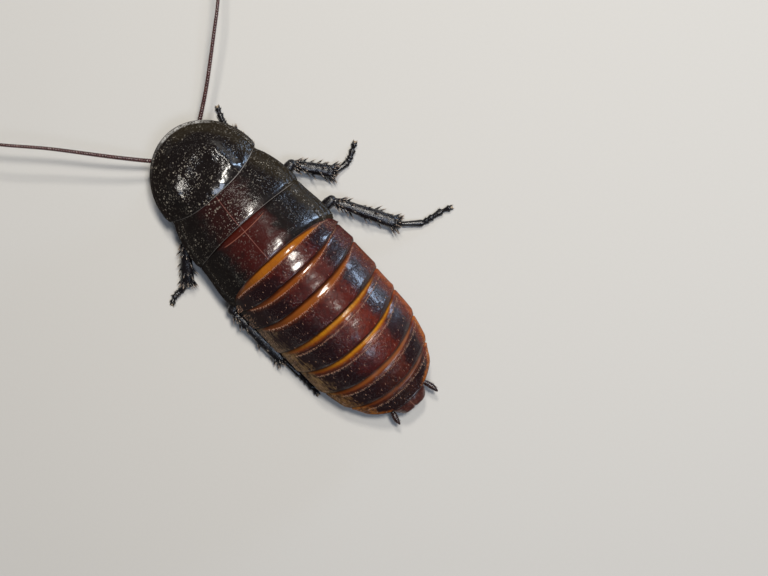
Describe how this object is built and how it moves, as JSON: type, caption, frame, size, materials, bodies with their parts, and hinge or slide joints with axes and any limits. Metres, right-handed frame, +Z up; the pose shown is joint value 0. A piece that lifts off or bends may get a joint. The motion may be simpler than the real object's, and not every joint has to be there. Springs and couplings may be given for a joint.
{
  "type": "madagascar hissing cockroach",
  "caption": "Life-size hissing cockroach standing still on all its feet, with a hooded front shield, lapped back plates, spined legs and long swept antennae.",
  "frame": {"origin": "on the floor, at the middle of the box round the whole animal, feelers and feet included", "axes": "+Z up from the floor, +Y towards the tail, -Y towards the head, +X towards the animal's left"},
  "size_m": [0.0575, 0.0875, 0.0124],
  "materials": {
    "black_chitin": "near-black, finely grained, satin",
    "dark_red_chitin": "dark red-brown with an amber collar on each plate, glossy",
    "brown_chitin": "brown, satin",
    "leg_chitin": "black, glossy",
    "antenna_chitin": "dark reddish brown, ringed, satin",
    "eye_lens": "black, polished"
  },
  "bodies": {
    "root": {"pronotum": "black_chitin", "mesonotum": "black_chitin", "metanotum": "black_chitin", "tergite_1": "dark_red_chitin", "tergite_2": "dark_red_chitin", "tergite_3": "dark_red_chitin", "tergite_4": "dark_red_chitin", "tergite_5": "dark_red_chitin", "tergite_6": "dark_red_chitin", "tergite_7": "dark_red_chitin", "supra_anal_plate": "brown_chitin", "cercus_left": "brown_chitin", "cercus_right": "brown_chitin", "prothorax": "brown_chitin", "mesosternum": "brown_chitin", "metasternum": "brown_chitin", "sternite_2": "brown_chitin", "sternite_3": "brown_chitin", "sternite_4": "brown_chitin", "sternite_5": "brown_chitin", "sternite_6": "brown_chitin", "sternite_7": "brown_chitin", "head": "black_chitin", "eye_left": "eye_lens", "eye_right": "eye_lens", "labrum": "brown_chitin", "labium": "brown_chitin", "maxillary_palp_left": "brown_chitin", "maxillary_palp_right": "brown_chitin", "antenna_left_base": "antenna_chitin", "antenna_left_1": "antenna_chitin", "antenna_left_2": "antenna_chitin", "antenna_right_base": "antenna_chitin", "antenna_right_1": "antenna_chitin", "antenna_right_2": "antenna_chitin", "fore_left_coxa": "brown_chitin", "fore_left_femur": "leg_chitin", "fore_left_tibia": "leg_chitin", "fore_left_tarsus": "leg_chitin", "fore_right_coxa": "brown_chitin", "fore_right_femur": "leg_chitin", "fore_right_tibia": "leg_chitin", "fore_right_tarsus": "leg_chitin", "mid_left_coxa": "brown_chitin", "mid_left_femur": "leg_chitin", "mid_left_tibia": "leg_chitin", "mid_left_tarsus": "leg_chitin", "mid_right_coxa": "brown_chitin", "mid_right_femur": "leg_chitin", "mid_right_tibia": "leg_chitin", "mid_right_tarsus": "leg_chitin", "hind_left_coxa": "brown_chitin", "hind_left_femur": "leg_chitin", "hind_left_tibia": "leg_chitin", "hind_left_tarsus": "leg_chitin", "hind_right_coxa": "brown_chitin", "hind_right_femur": "leg_chitin", "hind_right_tibia": "leg_chitin", "hind_right_tarsus": "leg_chitin"}
  },
  "joints": []
}
